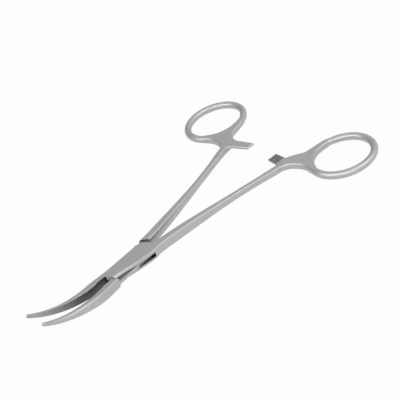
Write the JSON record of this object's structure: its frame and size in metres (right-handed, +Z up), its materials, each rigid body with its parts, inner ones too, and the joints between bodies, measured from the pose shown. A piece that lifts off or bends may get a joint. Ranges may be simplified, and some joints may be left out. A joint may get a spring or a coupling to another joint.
{
  "type": "hemostat forceps",
  "caption": "Locking surgical forceps with slim curved serrated jaws, a box lock, long shanks, a toothed ratchet and oval finger rings, half open.",
  "frame": {"origin": "under the pivot, on the underside of the lock", "axes": "+X along the instrument from the pivot to the finger rings, +Y across it towards the male half's ring, +Z up along the pin, to the side that the jaws curve to"},
  "size_m": [0.138, 0.0816, 0.0105],
  "materials": {
    "steel": "satin, soft highlights",
    "pin": "satin, ground flush"
  },
  "bodies": {
    "female": {"female_half": "steel", "lock_pin": "pin"},
    "male": {"male_half": "steel"}
  },
  "joints": [
    {"name": "lock_pivot", "type": "hinge", "parent": "female", "child": "male", "pos_m": [0, 0, 0.0019], "axis": [0, 0, 1], "range_deg": [-9.2, 65.8]}
  ]
}
